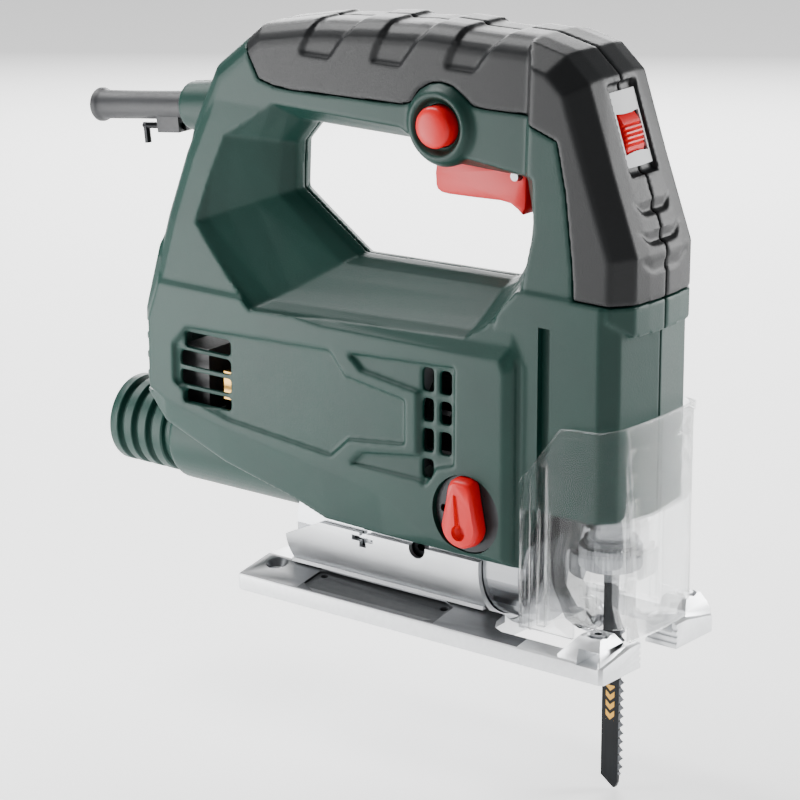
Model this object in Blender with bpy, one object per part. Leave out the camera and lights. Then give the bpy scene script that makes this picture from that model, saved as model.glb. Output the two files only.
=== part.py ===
"""Corded jigsaw: functional solids, one object per real piece.

+X is the cutting direction, +Z is up and Z = 0 is the underside of the sole
plate. The blade plane is Y = 0. Lengths below are in millimetres and are
scaled to metres when a mesh is made.
"""
import math

import bmesh
import bpy
from mathutils import Matrix

MM = 0.001
GAP = 0.3                 # clearance between neighbouring pieces

SOLE_FRONT = 90.0
SOLE_LENGTH = 151.6
SOLE_WIDTH = 66.2
SOLE_EDGE = 6.0           # height of the plate's outer edge
SOLE_CREST = 9.0          # height of the plate beside the cradle
SLOT_HALF = 10.5          # half width of the mouth at the front
OPENING_HALF = 26.9       # half width of the opening round the blade

TILT_Z = 25.0             # height of the tilt axis
BELLY_R = 20.8
CRADLE_IN = 21.2
CRADLE_OUT = 23.0
CRADLE_REAR = -49.0
CRADLE_FRONT = 33.5

BODY_HALF = 27.0          # half width of the motor housing
COLUMN_HALF = 23.6
HEAD_HALF = 22.5
GRIP_HALF = 16.5
SPLIT = 0.15              # half of the seam between the housing halves
COVER = 2.0               # thickness of the soft cover
BODY_TOP = 118.0
BODY_BOTTOM = 29.2
COLUMN_BOTTOM = 50.0

MOTOR_Z = 68.0
GEAR_TEETH = 41
PINION_TEETH = 7
GEAR_Z = MOTOR_Z + (GEAR_TEETH + PINION_TEETH) / 2
CRANK_R = 9.0             # half of the blade stroke
ROD_X = 70.5
ROD_R = 4.5
BLADE_BACK = 68.4
BLADE_TIP = 76.5
TOOTH_PITCH = 3.0
BLADE_END = -49.6

NOZZLE_Z = 41.0
NOZZLE_R = 14.0
DIAL_X = 65.5
DIAL_Z = 170.6
DIAL_R = 12.0
LEVER_X = 31.0
LEVER_Z = 44.5
BUTTON_X = 12.5
BUTTON_Z = 170.4
SLEEVE_Z = 159.5
SLEEVE_DROOP = math.radians(7.0)
GUARD_BOTTOM = 10.2
GUARD_TOP = 82.0
SCREWS = ((-98, 122), (-76, 178), (-30, 107), (50, 188), (79.3, 136))


# ---------------------------------------------------------------- helpers
def inset(outline, d):
    """Move every edge of a closed outline inwards by d."""
    area = 0.0
    n = len(outline)
    for i in range(n):
        (x0, y0), (x1, y1) = outline[i], outline[(i + 1) % n]
        area += x0 * y1 - x1 * y0
    side = 1.0 if area > 0 else -1.0
    lines = []
    for i in range(n):
        (x0, y0), (x1, y1) = outline[i], outline[(i + 1) % n]
        length = math.hypot(x1 - x0, y1 - y0)
        nx = -(y1 - y0) / length * side
        ny = (x1 - x0) / length * side
        lines.append((nx, ny, nx * x0 + ny * y0 + d))
    out = []
    for i in range(n):
        a, b, c = lines[i - 1]
        e, f, g = lines[i]
        det = a * f - b * e
        if abs(det) < 1e-6:
            x, y = outline[i]
            out.append((x + e * d, y + f * d))
            continue
        out.append(((c * f - b * g) / det, (a * g - c * e) / det))
    return out


def finish(name, bm):
    bmesh.ops.recalc_face_normals(bm, faces=bm.faces[:])
    mesh = bpy.data.meshes.new(name)
    bm.to_mesh(mesh)
    bm.free()
    mesh.shade_smooth()
    mesh.set_sharp_from_angle(angle=math.radians(32))
    obj = bpy.data.objects.new(name, mesh)
    bpy.context.scene.collection.objects.link(obj)
    return obj


def loft(name, rings):
    """Skin equal rings of points and cap both ends."""
    bm = bmesh.new()
    rows = []
    for ring in rings:
        rows.append([bm.verts.new((x * MM, y * MM, z * MM)) for x, y, z in ring])
    for low, high in zip(rows, rows[1:]):
        for i in range(len(low)):
            j = (i + 1) % len(low)
            bm.faces.new((low[i], low[j], high[j], high[i]))
    bm.faces.new(rows[0])
    bm.faces.new(list(reversed(rows[-1])))
    return finish(name, bm)


def skin_y(name, layers):
    """Loft side outlines (x, z) held at stated y."""
    return loft(name, [[(x, y, z) for x, z in outline] for y, outline in layers])


def prism(name, axis, outline, a, b):
    """Straight extrusion along an axis; the outline holds the other two."""
    rings = []
    for t in (a, b):
        if axis == "X":
            rings.append([(t, u, v) for u, v in outline])
        elif axis == "Y":
            rings.append([(u, t, v) for u, v in outline])
        else:
            rings.append([(u, v, t) for u, v in outline])
    return loft(name, rings)


def box(name, x0, x1, y0, y1, z0, z1):
    return prism(name, "Z", [(x0, y0), (x1, y0), (x1, y1), (x0, y1)], z0, z1)


def circle(u, v, r, count=32, start=0.0):
    step = 2 * math.pi / count
    return [(u + r * math.cos(start + i * step), v + r * math.sin(start + i * step))
            for i in range(count)]


def rod(name, axis, u, v, r, a, b, count=32):
    return prism(name, axis, circle(u, v, r, count), a, b)


def turned(name, axis, u, v, steps, count=32):
    """Stepped round body: steps are (position along the axis, radius)."""
    rings = []
    for t, r in steps:
        ring = circle(u, v, r, count)
        if axis == "X":
            rings.append([(t, p, q) for p, q in ring])
        elif axis == "Y":
            rings.append([(p, t, q) for p, q in ring])
        else:
            rings.append([(p, q, t) for p, q in ring])
    return loft(name, rings)


def apply_tool(body, tool, operation):
    mod = body.modifiers.new(operation.lower(), "BOOLEAN")
    mod.operation = operation
    mod.solver = "EXACT"
    mod.object = tool
    tool.hide_render = True
    tool.display_type = "WIRE"


def cut(body, *tools):
    for tool in tools:
        apply_tool(body, tool, "DIFFERENCE")
    return body


def fuse(body, *tools):
    for tool in tools:
        apply_tool(body, tool, "UNION")
    return body


def trim(body, tool):
    apply_tool(body, tool, "INTERSECT")
    return body


def pivot_at(obj, x, y, z):
    """Put a moving piece's origin on the axis it moves about."""
    obj.data.transform(Matrix.Translation((-x * MM, -y * MM, -z * MM)))
    obj.location = (x * MM, y * MM, z * MM)
    return obj


def paint(obj, colour, rough=0.5, metal=0.0, alpha=1.0):
    mat = bpy.data.materials.new(obj.name + "_mat")
    mat.use_nodes = True
    node = mat.node_tree.nodes["Principled BSDF"]
    node.inputs["Base Color"].default_value = (*colour, 1.0)
    node.inputs["Roughness"].default_value = rough
    node.inputs["Metallic"].default_value = metal
    node.inputs["Alpha"].default_value = alpha
    mat.diffuse_color = (*colour, alpha)
    obj.data.materials.clear()
    obj.data.materials.append(mat)
    return obj


def tip(obj):
    """Droop a rear piece about the cord entry."""
    pivot = Matrix.Translation((-100 * MM, 0, SLEEVE_Z * MM))
    turn = Matrix.Rotation(-SLEEVE_DROOP, 4, "Y")
    obj.data.transform(pivot @ turn @ pivot.inverted())
    return obj


GREEN = (0.014, 0.070, 0.058)
BLACK = (0.020, 0.021, 0.024)
RED = (0.62, 0.025, 0.035)
ALLOY = (0.62, 0.63, 0.65)
STEEL = (0.50, 0.51, 0.53)
COPPER = (0.60, 0.27, 0.12)


# ---------------------------------------------------------------- sole
def sole_plate():
    half = SOLE_WIDTH / 2
    rear = SOLE_FRONT - SOLE_LENGTH
    section = [(-half, 0), (half, 0), (half, SOLE_EDGE), (17, SOLE_CREST),
               (-17, SOLE_CREST), (-half, SOLE_EDGE)]
    plate = prism("shoe_plate", "X", section, rear, SOLE_FRONT)
    for side, tag in ((-1, "r"), (1, "l")):
        foot = [(74, side * 17), (SOLE_FRONT, side * 17), (SOLE_FRONT, side * half),
                (74, side * half)]
        crown = [(79, side * 21), (87, side * 21), (87, side * 30), (79, side * 30)]
        boss = loft("boss_" + tag, [[(x, y, 4.0) for x, y in foot],
                                    [(x, y, 8.4) for x, y in foot],
                                    [(x, y, 14.2) for x, y in crown]])
        fuse(plate, boss)
    groove = rod("groove", "X", 0, TILT_Z, CRADLE_OUT + GAP, -51.2, 42, 40)
    opening = box("opening", 40, 77.8, -OPENING_HALF, OPENING_HALF, -1, 20)
    mouth = box("mouth", 77, 92, -SLOT_HALF, SLOT_HALF, -1, 20)
    fence = box("fence_way", 80, 88.2, -40, 40, 5.4, 10.6)
    cut(plate, groove, opening, mouth, fence)
    for side, tag in ((-1, "r"), (1, "l")):
        cut(plate, rod("fence_bore_" + tag, "Z", 83.4, side * 25.5, 3.0, 9, 20, 24))
        cut(plate, rod("plate_hole_" + tag, "Z", -53.5, side * 22, 2.2, -1, 20, 20))
    for x, tag in ((-30, "a"), (20, "b")):
        cut(plate, rod("rivet_bore_" + tag, "Z", x, 0, 2.8, -1, 5, 20))
    return paint(plate, ALLOY, 0.38, 1.0)


def fence_screws():
    for side, tag in ((-1, "right"), (1, "left")):
        screw = rod("fence_screw_" + tag, "Z", 83.4, side * 25.5, 2.6, 11.0, 14.6, 24)
        socket = prism("fence_socket_" + tag, "Z",
                       circle(83.4, side * 25.5, 1.4, 6), 13.0, 16.0)
        paint(cut(screw, socket), STEEL, 0.35, 1.0)


def cradle():
    """Curved seat riveted to the plate; the tool body rocks in it."""
    top = TILT_Z + 2.4
    shell = rod("tilt_cradle", "X", 0, TILT_Z, CRADLE_OUT, CRADLE_REAR, CRADLE_FRONT, 40)
    for side, tag in ((-1, "r"), (1, "l")):
        foot = [(side * 15.0, 9.3), (side * 18.9, 9.3), (side * 18.9, 10.6), (side * 15.0, 10.6)]
        fuse(shell, prism("foot_" + tag, "X", foot, CRADLE_REAR, CRADLE_FRONT - 1))
    cut(shell, rod("cradle_bore", "X", 0, TILT_Z, CRADLE_IN, -60, 50, 40))
    cut(shell, box("cradle_top", -60, 50, -30, 30, top, 60))
    corner = [(-60, 19.5), (-46, 19.5), (-34, top + 0.5), (-34, 40), (-60, 40)]
    cut(shell, prism("cradle_corner", "Y", corner, -40, 40))
    for side, tag in ((-1, "r"), (1, "l")):
        cut(shell, box("tee_stem_" + tag, -18, -15, side * 30, side * 15, top - 5.5, 60))
        cut(shell, box("tee_bar_" + tag, -22, -11, side * 30, side * 15, top - 3.0, top - 0.8 + 2))
        cut(shell, rod("round_notch_" + tag, "Y", 8, top - 0.6, 3.4,
                       min(side * 15, side * 30), max(side * 15, side * 30), 24))
    for x, tag in ((-30, "a"), (20, "b")):
        cut(shell, rod("cradle_rivet_bore_" + tag, "Z", x, 0, 2.8, -1, 8, 20))
    paint(shell, STEEL, 0.36, 1.0)
    for x, tag in ((-30, "rear"), (20, "front")):
        paint(rod("cradle_rivet_" + tag, "Z", x, 0, 2.5, 0.1, 3.5, 20), STEEL, 0.4, 1.0)


# ---------------------------------------------------------------- gear housing
def gear_housing():
    """Alloy casting: the round belly that sits in the cradle and the bearing wall."""
    body = rod("gear_housing", "X", 0, TILT_Z, BELLY_R, -45, 48, 40)
    cut(body, box("belly_flat", -60, 60, -30, 30, TILT_Z + 8, 60))
    cut(body, rod("belly_hollow", "X", 0, TILT_Z + 3, 16.5, -41, 24, 48))
    neck = box("bearing_neck", 26, 35.5, -8.5, 8.5, 26, 54)
    wall = box("bearing_wall", 27, 35.5, -19, 19, 50.5, 103.5)
    fuse(body, neck, wall)
    cut(body, rod("bearing_seat", "X", 0, MOTOR_Z, 11.3, 20, 33.2, 40))
    cut(body, rod("shaft_way", "X", 0, MOTOR_Z, 5.5, 20, 40, 32))
    cut(body, rod("axle_seat", "X", 0, GEAR_Z, 3.3, 20, 40, 24))
    for side, tag in ((-1, "right"), (1, "left")):
        lo, hi = sorted((side * 16.0, side * 30.0))
        cut(body, rod("clamp_pocket_" + tag, "Y", 8, TILT_Z + 1.8, 3.6, lo, hi, 24))
        lo, hi = sorted((side * 16.4, side * 20.3))
        screw = rod("tilt_screw_" + tag, "Y", 8, TILT_Z + 1.8, 3.2, lo, hi, 24)
        lo, hi = sorted((side * 18.4, side * 22.0))
        cut(screw, rod("tilt_socket_" + tag, "Y", 8, TILT_Z + 1.8, 1.7, lo, hi, 6))
        paint(screw, BLACK, 0.35, 1.0)
    return paint(body, ALLOY, 0.3, 1.0)


# ---------------------------------------------------------------- housing
BODY_SIDE = [(-112, 60), (-103, 50), (-75, 40), (-44, 34), (-30, BODY_BOTTOM + 0.6),
             (-5, BODY_BOTTOM), (52, BODY_BOTTOM), (52, 100), (46, 121), (-30, BODY_TOP),
             (-58, 124), (-106, 118), (-112, 92)]
BODY_FACE = [(-108, 62), (-101, 52), (-75, 43), (-44, 34.5), (-30, BODY_BOTTOM + 0.6),
             (-5, BODY_BOTTOM), (52, BODY_BOTTOM), (52, 96), (47, 103), (-30, 100),
             (-60, 104), (-103, 104), (-108, 90)]
UPPER_SIDE = [(-111, 96), (-104, 128), (-97, 155), (-86, 178), (-66, 194), (-38, 199.5),
              (0, 202.8), (47, 203), (60, 200), (60, 112), (-100, 80)]
HEAD_SIDE = [(44, 112), (47, 203), (62, 199.5), (71, 191.5), (80, 165), (90, 138), (90, 112)]
WINDOW = [(-50, 161), (-56.5, 153), (-57, 137), (-30, 118.5), (33, 120.5), (39, 124),
          (41.5, 131), (41.5, 143), (38.5, 155), (3, 155), (-6, 161)]
COVER_ZONE = [(-64, 176), (-50, 174.4), (-4, 175.5), (3, 180), (12.5, 184.5), (22, 180.5),
              (28, 178), (46, 178.5), (57, 174), (63.5, 134), (64, 122.6), (95, 122.6),
              (95, 215), (-80, 215), (-76, 196)]


def seam_y(d, side):
    """Every half runs past the seam and is cut back to it at the end."""
    return side * (-1.0 if d < 2.5 else -2.0)


def column(name, d, side):
    """Front column: flat sides, chamfered corners, slightly pointed front."""
    half = COLUMN_HALF - d
    plan = [(40, seam_y(d, side)), (40, side * half), (82.5, side * half),
            (86.6 - d, side * (18.6 - d * 0.5)), (88.3 - d, side * SPLIT),
            (88.3 - d, seam_y(d, side))]
    return prism(name, "Z", plan, COLUMN_BOTTOM + d, 122.3 if d < 2.5 else 128)


def lower_body(name, d, side):
    return skin_y(name, [(seam_y(d, side), inset(BODY_SIDE, d)),
                         (side * (14 - d), inset(BODY_SIDE, d)),
                         (side * (BODY_HALF - 1.5 - d), inset(BODY_FACE, d)),
                         (side * (BODY_HALF - d), inset(BODY_FACE, d + 1.5))])


def upper_grip(name, d, side):
    return skin_y(name, [(seam_y(d, side), inset(UPPER_SIDE, d)),
                         (side * (GRIP_HALF - 5.5 - d * 0.5), inset(UPPER_SIDE, d)),
                         (side * (GRIP_HALF - d), inset(UPPER_SIDE, d + 5.0))])


def head(name, d, side):
    return skin_y(name, [(seam_y(d, side), inset(HEAD_SIDE, d)),
                         (side * (HEAD_HALF - 6.5 - d * 0.5), inset(HEAD_SIDE, d)),
                         (side * (HEAD_HALF - d), inset(HEAD_SIDE, d + 5.0))])


def window_cut(name, d):
    return prism(name, "Y", inset(WINDOW, d), -40, 40)


def ordered(side, a, b):
    return sorted((side * a, side * b))


def housing(side, tag):
    shell = lower_body("housing_" + tag, 0.0, side)
    zone = prism("zone_" + tag, "Y", inset(COVER_ZONE, -GAP), -40, 40)
    skin = upper_grip("skin_" + tag, 0.0, side)
    fuse(skin, head("skin_head_" + tag, 0.0, side))
    cut(skin, zone, box("head_foot_" + tag, 60, 95, -40, 40, 90, 122.3))
    fuse(shell, column("column_" + tag, 0.0, side))
    fuse(shell, skin)
    fuse(shell, upper_grip("core_" + tag, COVER + GAP, side))
    fuse(shell, head("core_head_" + tag, COVER + GAP, side))
    fuse(shell, rod("duct_" + tag, "X", 0, NOZZLE_Z, 16.6, -107, -53, 24))
    fuse(shell, tip(rod("cord_boss_" + tag, "X", 0, SLEEVE_Z, 8.6, -107, -86, 16)))
    if side < 0:
        fuse(shell, rod("button_boss", "Y", BUTTON_X, BUTTON_Z, 10.4, -19.2, -10, 32))
    room = lower_body("room_" + tag, 2.6, side)
    cut(shell, room)
    cut(shell, column("room_column_" + tag, 3.0, side))
    upper = upper_grip("room_grip_" + tag, 4.6, side)
    fuse(upper, head("room_head_" + tag, 4.6, side))
    cut(upper, window_cut("window_rim_" + tag, -2.6))
    cut(shell, upper, window_cut("window_" + tag, 0.0))
    # the other half's side of the seam
    cut(shell, box("seam_" + tag, -180, 120, *ordered(side, -40, SPLIT), -20, 240))
    # seat for the cradle and the ways through the floor
    cut(shell, rod("belly_way_" + tag, "X", 0, TILT_Z, CRADLE_OUT + 0.8, -52, 60, 40))
    cut(shell, box("plunger_way_" + tag, 47, 84, -15, 15, 40, 56))
    cut(shell, rod("duct_bore_" + tag, "X", 0, NOZZLE_Z, NOZZLE_R + GAP, -120, -57, 24))
    cut(shell, tip(rod("cord_bore_" + tag, "X", 0, SLEEVE_Z, 5.4, -120, -80, 16)))
    # groove the clear guard slides in
    cut(shell, box("groove_" + tag, 57.2, 61.8, *ordered(side, COLUMN_HALF - 1.7, 40), 45, 112))
    bosses(shell, side, tag)
    vents(shell, side, tag)
    cut(shell, box("trigger_way_" + tag, 1.5, 42.8, -8.5, 8.5, 141, 163.5))
    cut(shell, rod("trigger_pin_way_" + tag, "Y", 37.6, 156.0, 1.8, -11, 11, 16))
    cut(shell, rod("dial_way_" + tag, "Y", DIAL_X, DIAL_Z, DIAL_R + 0.9, -6.0, 6.0, 24))
    cut(shell, rod("dial_axle_way_" + tag, "Y", DIAL_X, DIAL_Z, 2.3, -10, 10, 20))
    if side < 0:
        cut(shell, rod("button_bore", "Y", BUTTON_X, BUTTON_Z, 7.3, -30, -8, 32))
        cut(shell, rod("lever_bore", "Y", LEVER_X, LEVER_Z, 13.6, -30, -20, 24))
    return paint(shell, GREEN, 0.55)


def bosses(shell, side, tag):
    for i, (x, z) in enumerate(SCREWS):
        depth = 12.0 if i in (0, 1, 3) else 19.0
        name = "%s_%d" % (tag, i)
        fuse(shell, rod("post_" + name, "Y", x, z, 3.8, *ordered(side, SPLIT, depth), 8))
        if side > 0:
            cut(shell, rod("screw_bore_" + name, "Y", x, z, 1.9, -1, 40, 8))
            cut(shell, rod("screw_well_" + name, "Y", x, z, 3.0, 9.0, 40, 10))
        else:
            cut(shell, rod("screw_bore_" + name, "Y", x, z, 1.9, -9.0, 1, 8))


def vents(shell, side, tag):
    lo, hi = ordered(side, 20, 40)
    for row in range(4):
        z = 58.5 + row * 7.2
        cut(shell, box("rear_vent_%s_%d" % (tag, row), -92, -70, lo, hi, z, z + 3.9))
    for row in range(4):
        z = 56.5 + row * 9.6
        cut(shell, box("front_vent_a_%s_%d" % (tag, row), 12.8, 16.7, lo, hi, z, z + 7.2))
        if row:
            cut(shell, box("front_vent_b_%s_%d" % (tag, row), 19.6, 23.5, lo, hi, z, z + 7.2))


def cover(side, tag):
    """Soft overmoulded cover of the grip and head."""
    skin = upper_grip("soft_cover_" + tag, 0.0, side)
    fuse(skin, head("cover_head_" + tag, 0.0, side))
    trim(skin, prism("cover_zone_" + tag, "Y", COVER_ZONE, -40, 40))
    inner = upper_grip("cover_core_" + tag, COVER, side)
    fuse(inner, head("cover_core_head_" + tag, COVER, side))
    cut(skin, inner)
    cut(skin, rod("dial_slot_" + tag, "Y", DIAL_X, DIAL_Z, DIAL_R + 0.9, -6.2, 6.2, 24))
    cut(skin, box("cover_seam_" + tag, -180, 120, *ordered(side, -40, SPLIT), -20, 240))
    return paint(skin, BLACK, 0.6)


def housing_screws():
    for i, (x, z) in enumerate(SCREWS):
        screw = turned("housing_screw_%d" % (i + 1), "Y", x, z,
                       [(-8.0, 1.4), (9.3, 1.4), (9.4, 2.5), (11.2, 2.5)], 10)
        cut(screw, prism("drive_%d" % (i + 1), "Y", circle(x, z, 1.1, 6), 10.2, 13))
        paint(screw, STEEL, 0.35, 1.0)


# ---------------------------------------------------------------- guard
def guard():
    """Clear chip guard, a U in plan that slides on the column."""
    out, wall = 25.6, 1.5
    plan = [(52.5, out), (83.2, out), (89.2, 19.6), (91.0, 0.0)]
    inner = [(89.5, 0.0), (87.9, 18.6), (82.6, out - wall), (52.5, out - wall)]
    ring = plan + inner
    mirror = [(x, -y) for x, y in ring if y > 0]
    outer_right = [p for p in mirror[:3]]
    inner_right = [p for p in mirror[3:]]
    loop = plan[:3] + [plan[3]] + outer_right[::-1] + inner_right[::-1] + [inner[0]] + inner[1:]
    body = prism("clear_guard", "Z", loop, GUARD_BOTTOM, 90)
    slope = [(40, 46), (52.5, 61), (67.5, GUARD_TOP - 1.5), (83, GUARD_TOP - 0.5),
             (95, GUARD_TOP + 1.5), (95, 100), (40, 100)]
    for side, tag in ((-1, "r"), (1, "l")):
        lo, hi = ordered(side, COLUMN_HALF - 1.2, out - 0.4)
        fuse(body, box("guard_rail_" + tag, 58.0, 61.0, lo, hi, GUARD_BOTTOM + 1, 66))
    cut(body, prism("guard_slope", "Y", slope, -40, 40))
    for side, tag in ((-1, "r"), (1, "l")):
        lo, hi = ordered(side, 16.4, 40)
        cut(body, box("guard_notch_" + tag, 73.2, 95, lo, hi, 0, 15.4))
    return paint(body, (0.85, 0.87, 0.88), 0.1, 0.0, 0.35)


# ---------------------------------------------------------------- controls
def controls():
    side = [(4.0, 146.8), (9, 145.4), (32, 146.4), (38.5, 143.0), (40.6, 147.5), (40.6, 159.5),
            (4.5, 159.0), (3.6, 152.0)]
    trigger = prism("trigger", "Y", side, -8.0, 8.0)
    cut(trigger, rod("trigger_eye", "Y", 37.6, 156.0, 1.8, -20, 20, 16))
    paint(pivot_at(trigger, 37.6, 0, 156.0), RED, 0.4)
    paint(rod("trigger_pin", "Y", 37.6, 156.0, 1.5, -10.5, 10.5, 16), STEEL, 0.3, 1.0)
    module = box("switch_module", -8, 32, -8.6, 8.6, 165.0, 184.0)
    fuse(module, box("switch_plunger", 8, 14, -3, 3, 163.9, 166))
    paint(module, (0.05, 0.05, 0.055), 0.5)
    button = turned("lock_button", "Y", BUTTON_X, BUTTON_Z,
                    [(-21.6, 6.0), (-20.8, 6.9), (-15.0, 6.9), (-14.9, 4.5), (-12.2, 4.5)], 32)
    paint(pivot_at(button, BUTTON_X, 0, BUTTON_Z), RED, 0.4)
    wheel = []
    for i in range(48):
        r = DIAL_R if i % 2 else DIAL_R - 0.7
        angle = 2 * math.pi * i / 48
        wheel.append((DIAL_X + r * math.cos(angle), DIAL_Z + r * math.sin(angle)))
    dial = prism("speed_dial", "Y", wheel, -5.1, 5.1)
    cut(dial, rod("dial_eye", "Y", DIAL_X, DIAL_Z, 2.3, -20, 20, 20))
    paint(pivot_at(dial, DIAL_X, 0, DIAL_Z), RED, 0.4)
    paint(rod("dial_axle", "Y", DIAL_X, DIAL_Z, 2.0, -8.6, 8.6, 20), STEEL, 0.3, 1.0)
    lever()


def lever():
    """Red orbit selector with its shaft, and the detent plate behind it."""
    outline = []
    for i in range(13):
        angle = math.pi + math.pi * i / 12
        outline.append((LEVER_X + 7.6 * math.cos(angle), LEVER_Z - 3.6 + 7.6 * math.sin(angle)))
    outline += [(LEVER_X + 4.6, LEVER_Z + 11.0), (LEVER_X + 2.4, LEVER_Z + 12.8),
                (LEVER_X - 2.4, LEVER_Z + 12.8), (LEVER_X - 4.6, LEVER_Z + 11.0)]
    knob = prism("orbit_lever", "Y", outline, -31.0, -25.6)
    fuse(knob, rod("lever_shaft", "Y", LEVER_X, LEVER_Z, 3.4, -26, -11.0, 24))
    paint(pivot_at(knob, LEVER_X, 0, LEVER_Z), RED, 0.4)
    plate = rod("lever_plate", "Y", LEVER_X, LEVER_Z, 13.2, -25.2, -24.0, 24)
    cut(plate, rod("lever_plate_eye", "Y", LEVER_X, LEVER_Z, 3.8, -30, -20, 24))
    for i in range(4):
        angle = math.radians(180 + 30 * i)
        cut(plate, rod("detent_%d" % i, "Y", LEVER_X + 10 * math.cos(angle),
                       LEVER_Z + 10 * math.sin(angle), 1.4, -30, -20, 8))
    paint(plate, BLACK, 0.5)


# ---------------------------------------------------------------- drive
def gear_outline(teeth, root, tip, width_root, width_tip, start):
    out = []
    for i in range(teeth):
        mid = start + 2 * math.pi * i / teeth
        for r, w in ((root, -width_root), (tip, -width_tip), (tip, width_tip), (root, width_root)):
            angle = mid + w / r / 2
            out.append((r * math.cos(angle), r * math.sin(angle)))
    return out


def drive():
    outline = gear_outline(GEAR_TEETH, 19.3, 21.1, 1.7, 0.5, -math.pi / 2 + math.pi / GEAR_TEETH)
    gear = prism("drive_gear", "X", [(y, z + GEAR_Z) for y, z in outline], 37.8, 44.0)
    fuse(gear, rod("crank_pin", "X", CRANK_R, GEAR_Z, 3.0, 43.5, 49.4, 20))
    fuse(gear, rod("gear_hub", "X", 0, GEAR_Z, 5.6, 36.4, 45.4, 24))
    cut(gear, rod("gear_bore", "X", 0, GEAR_Z, 3.3, 30, 60, 24))
    paint(pivot_at(gear, 0, 0, GEAR_Z), STEEL, 0.4, 1.0)
    paint(rod("gear_axle", "X", 0, GEAR_Z, 3.0, 28, 45.6, 24), STEEL, 0.3, 1.0)
    shaft = turned("armature_shaft", "X", 0, MOTOR_Z,
                   [(-92, 3.0), (26, 3.0), (26.2, 4.0), (34, 4.0), (34.2, 2.2), (37.0, 2.2)], 24)
    pinion = gear_outline(PINION_TEETH, 2.3, 4.1, 1.3, 0.5, math.pi / 2)
    fuse(shaft, prism("pinion", "X", [(y, z + MOTOR_Z) for y, z in pinion], 36.5, 45.0))
    paint(pivot_at(shaft, 0, 0, MOTOR_Z), STEEL, 0.3, 1.0)


def plunger():
    rodbody = turned("plunger_rod", "Z", ROD_X, 0,
                     [(38.0, ROD_R - 0.6), (38.6, ROD_R), (128.4, ROD_R), (129, ROD_R - 0.6)], 28)
    yoke = box("yoke", 50.2, 71, -14.5, 14.5, GEAR_Z - 7.5, GEAR_Z + 7.5)
    cut(yoke, box("yoke_slot", 49, 62, -12.4, 12.4, GEAR_Z - 3.4, GEAR_Z + 3.4))
    fuse(rodbody, yoke)
    cut(rodbody, box("blade_seat", 66.9, 74.1, -1.1, 1.1, 30, 50.0))
    paint(pivot_at(rodbody, ROD_X, 0, 0), STEEL, 0.3, 1.0)
    for name, z0, z1 in (("lower_bush", 58.0, 68.0), ("upper_bush", 118.0, 126.0)):
        block = box(name, 60, 82, -16, 16, z0, z1)
        cut(block, rod(name + "_bore", "Z", ROD_X, 0, ROD_R + GAP, 40, 140, 28))
        paint(block, ALLOY, 0.4, 1.0)
    clamp = turned("clamp_body", "Z", ROD_X, 0, [(27.4, 7.0), (45.2, 7.0), (46.2, 6.2)], 32)
    cut(clamp, rod("clamp_bore", "Z", ROD_X, 0, ROD_R + GAP, 37.6, 60, 28))
    cut(clamp, box("clamp_slot", 66.9, 77.4, -1.1, 1.1, 20, 40))
    paint(clamp, STEEL, 0.35, 1.0)
    ring = turned("clamp_ring", "Z", ROD_X, 0, [(36.6, 9.0), (38.2, 9.0)], 32)
    cut(ring, rod("ring_bore", "Z", ROD_X, 0, 7.3, 30, 50, 32))
    paint(ring, BLACK, 0.4)
    knurl = []
    for i in range(36):
        r = 10.6 if i % 2 else 10.2
        angle = 2 * math.pi * i / 36
        knurl.append((ROD_X + r * math.cos(angle), r * math.sin(angle)))
    collar = prism("clamp_collar", "Z", knurl, 28.0, 36.3)
    cut(collar, rod("collar_bore", "Z", ROD_X, 0, 7.3, 20, 50, 32))
    paint(pivot_at(collar, ROD_X, 0, 32), STEEL, 0.4, 1.0)


def blade():
    """T-shank saw blade with forward teeth."""
    front = []
    z = 4.0
    while z > BLADE_END + 7.0:
        front.append((BLADE_TIP, z))
        front.append((BLADE_TIP - 1.4, z - TOOTH_PITCH * 0.45))
        z -= TOOTH_PITCH
    outline = [(67.3, 40.0), (73.6, 40.0), (73.6, 13.0), (BLADE_TIP - 1.2, 8.0)]
    outline += front
    outline += [(BLADE_TIP - 1.4, BLADE_END + 2.0), (BLADE_TIP - 2.6, BLADE_END),
                (BLADE_BACK, BLADE_END + 6.0), (BLADE_BACK, 25.0), (67.3, 27.0)]
    return paint(prism("saw_blade", "Y", outline, -0.65, 0.65), BLACK, 0.35, 0.8)


def roller():
    arm_side = [(49.6, 55.0), (56.4, 55.0), (57.2, 40), (54.6, 30), (55.6, 20), (60.5, 13.6),
                (65.6, 12.2), (65.6, 6.8), (61.5, 5.2), (56, 7.5), (50.6, 18), (49.2, 32)]
    arm = prism("roller_fork", "Y", arm_side, -4.6, 4.6)
    cut(arm, box("roller_way", 56.4, 72, -2.3, 2.3, 0, 18))
    cut(arm, rod("fork_eye", "Y", 53.0, 51.6, 1.9, -20, 20, 16))
    cut(arm, rod("roller_eye", "Y", 62.3, 9.6, 1.6, -20, 20, 16))
    paint(pivot_at(arm, 53.0, 0, 51.6), BLACK, 0.5)
    paint(rod("fork_pin", "Y", 53.0, 51.6, 1.6, -7.5, 7.5, 16), STEEL, 0.3, 1.0)
    paint(rod("roller_pin", "Y", 62.3, 9.6, 1.3, -4.4, 4.4, 16), STEEL, 0.3, 1.0)
    wheel = turned("guide_roller", "Y", 62.3, 9.6,
                   [(-2.0, 5.7), (-0.9, 5.7), (-0.8, 5.2), (0.8, 5.2), (0.9, 5.7), (2.0, 5.7)], 28)
    cut(wheel, rod("wheel_eye", "Y", 62.3, 9.6, 1.6, -10, 10, 16))
    paint(pivot_at(wheel, 62.3, 0, 9.6), STEEL, 0.3, 1.0)


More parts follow.
